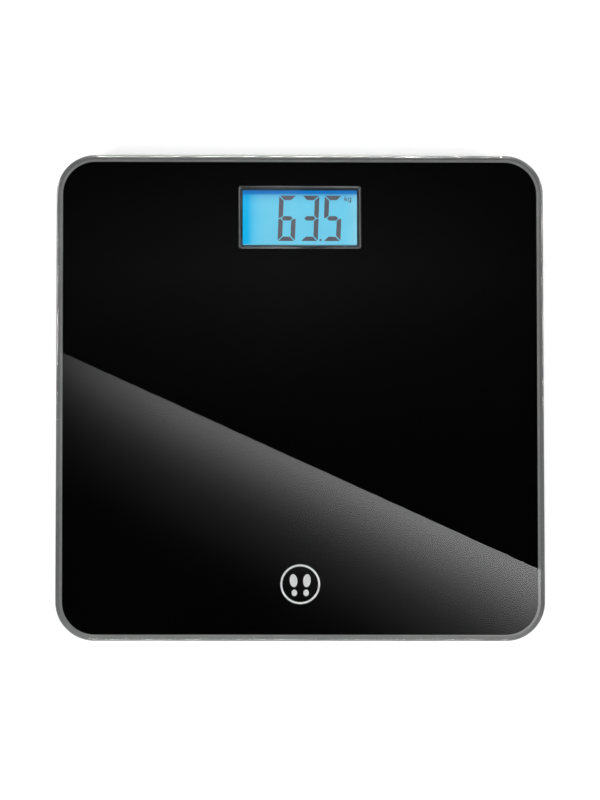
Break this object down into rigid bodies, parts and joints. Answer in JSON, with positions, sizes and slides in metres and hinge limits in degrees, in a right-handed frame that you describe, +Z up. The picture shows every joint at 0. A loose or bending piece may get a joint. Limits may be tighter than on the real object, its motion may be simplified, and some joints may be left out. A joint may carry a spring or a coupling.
{
  "type": "digital bathroom scale",
  "caption": "Square black glass platform on load-cell feet, with a backlit digital display near the back edge, and an electronics housing with a battery door and a unit button underneath.",
  "frame": {"origin": "on the floor, under the middle of the platform", "axes": "+Z up, +Y towards the edge with the display, +X to the right of a person who stands on the scale and faces the display"},
  "size_m": [0.3, 0.3, 0.024],
  "materials": {
    "clear_glass": "toughened, clear, polished faces and a ground edge",
    "black_print": "screen-printed black enamel",
    "dark_chrome": "vacuum-metallised dark chrome",
    "lcd_glass": "display cell lit blue from behind",
    "polariser_film": "polarising film",
    "white_film": "diffusing film",
    "clear_acrylic": "clear moulded acrylic",
    "led_lens": "LED package",
    "white_abs": "moulded",
    "elastomer": "layered contact strip",
    "board_green": "glass-fibre laminate with solder mask",
    "black_epoxy": "cured epoxy",
    "component_black": "moulded",
    "screw_steel": "zinc plated",
    "grey_abs": "moulded, fine spark texture",
    "black_abs": "moulded, fine spark texture",
    "foam_tape": "double-sided foam tape",
    "battery_jacket": "printed sleeve over steel",
    "nickel": "nickel-plated spring steel",
    "wire_pvc": "PVC-insulated wires in red, black and white",
    "white_potting": "silicone potting",
    "load_cell_steel": "stamped alloy steel plate",
    "foot_rubber": "anti-slip elastomer"
  },
  "bodies": {
    "platform": {"glass_platform": "clear_glass", "glass_back_print": "black_print", "display_bezel": "dark_chrome", "lcd_cell": "lcd_glass", "lcd_polarisers": "polariser_film", "backlight_diffuser": "white_film", "backlight_light_guide": "clear_acrylic", "backlight_reflector": "white_film", "backlight_leds": "led_lens", "display_frame": "white_abs", "zebra_connector": "elastomer", "main_board": "board_green", "controller_chip": "black_epoxy", "board_components": "component_black", "board_screws": "screw_steel", "unit_switch": "component_black", "display_housing": "black_abs", "housing_tape": "foam_tape", "rear_cover": "black_abs", "cover_screws": "screw_steel", "battery_cell_front": "battery_jacket", "battery_cell_rear": "battery_jacket", "battery_springs": "nickel", "battery_plates": "nickel", "battery_leads": "wire_pvc", "pod_tape": "foam_tape", "pod_ring_screws": "screw_steel", "load_cell_screws": "screw_steel", "strain_gauges": "white_potting", "wire_channel_front_left": "black_abs", "wire_channel_front_right": "black_abs", "wire_channels_rear": "black_abs", "pod_shell_front_left": "black_abs", "pod_ring_front_left": "black_abs", "load_cell_front_left": "load_cell_steel", "cell_lead_front_left": "wire_pvc", "pod_shell_front_right": "black_abs", "pod_ring_front_right": "black_abs", "load_cell_front_right": "load_cell_steel", "cell_lead_front_right": "wire_pvc", "pod_shell_rear_left": "black_abs", "pod_ring_rear_left": "black_abs", "load_cell_rear_left": "load_cell_steel", "cell_lead_rear_left": "wire_pvc", "pod_shell_rear_right": "black_abs", "pod_ring_rear_right": "black_abs", "load_cell_rear_right": "load_cell_steel", "cell_lead_rear_right": "wire_pvc"},
    "foot_front_left": {"foot_cap_front_left": "grey_abs", "foot_pad_front_left": "foot_rubber"},
    "foot_front_right": {"foot_cap_front_right": "grey_abs", "foot_pad_front_right": "foot_rubber"},
    "foot_rear_left": {"foot_cap_rear_left": "grey_abs", "foot_pad_rear_left": "foot_rubber"},
    "foot_rear_right": {"foot_cap_rear_right": "grey_abs", "foot_pad_rear_right": "foot_rubber"},
    "battery_door": {"battery_door": "black_abs"},
    "unit_button": {"unit_button": "grey_abs", "unit_switch_plunger": "component_black"}
  },
  "joints": [
    {"name": "foot_front_left_press", "type": "slide", "parent": "platform", "child": "foot_front_left", "axis": [0, 0, 1], "range_m": [0, 0.0006], "stiffness_N_per_m": 2000, "springref_m": -0.004, "deforming": ["load_cell_front_left"]},
    {"name": "foot_front_right_press", "type": "slide", "parent": "platform", "child": "foot_front_right", "axis": [0, 0, 1], "range_m": [0, 0.0006], "stiffness_N_per_m": 2000, "springref_m": -0.004, "deforming": ["load_cell_front_right"]},
    {"name": "foot_rear_left_press", "type": "slide", "parent": "platform", "child": "foot_rear_left", "axis": [0, 0, 1], "range_m": [0, 0.0006], "stiffness_N_per_m": 2000, "springref_m": -0.004, "deforming": ["load_cell_rear_left"]},
    {"name": "foot_rear_right_press", "type": "slide", "parent": "platform", "child": "foot_rear_right", "axis": [0, 0, 1], "range_m": [0, 0.0006], "stiffness_N_per_m": 2000, "springref_m": -0.004, "deforming": ["load_cell_rear_right"]},
    {"name": "battery_door_hinge", "type": "hinge", "parent": "platform", "child": "battery_door", "pos_m": [0, 0.0742, 0.0036], "axis": [1, 0, 0], "range_deg": [0, 95]},
    {"name": "unit_button_press", "type": "slide", "parent": "platform", "child": "unit_button", "axis": [0, 0, 1], "range_m": [0, 0.0004], "stiffness_N_per_m": 400, "springref_m": -0.0005}
  ]
}
